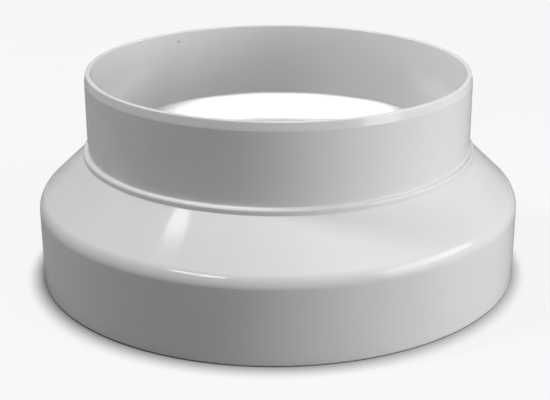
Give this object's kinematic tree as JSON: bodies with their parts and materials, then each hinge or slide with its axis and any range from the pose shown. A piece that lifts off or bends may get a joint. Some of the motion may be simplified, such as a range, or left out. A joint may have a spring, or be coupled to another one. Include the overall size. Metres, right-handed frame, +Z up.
{
  "type": "duct reducer",
  "caption": "Concentric plastic duct reducer: a chamfered spigot with a stop collar, a short cone and a larger straight skirt, moulded in one hollow piece that joins two round duct sizes.",
  "frame": {"origin": "centre of the large end's mouth, in the plane that the part stands on", "axes": "+Z up the duct's axis, from the large end to the small end; X and Y across the duct"},
  "size_m": [0.1244, 0.1244, 0.053],
  "materials": {
    "body_plastic": "semi-gloss moulded plastic, pale neutral grey-white"
  },
  "bodies": {
    "root": {"reducer_body": "body_plastic"}
  },
  "joints": []
}
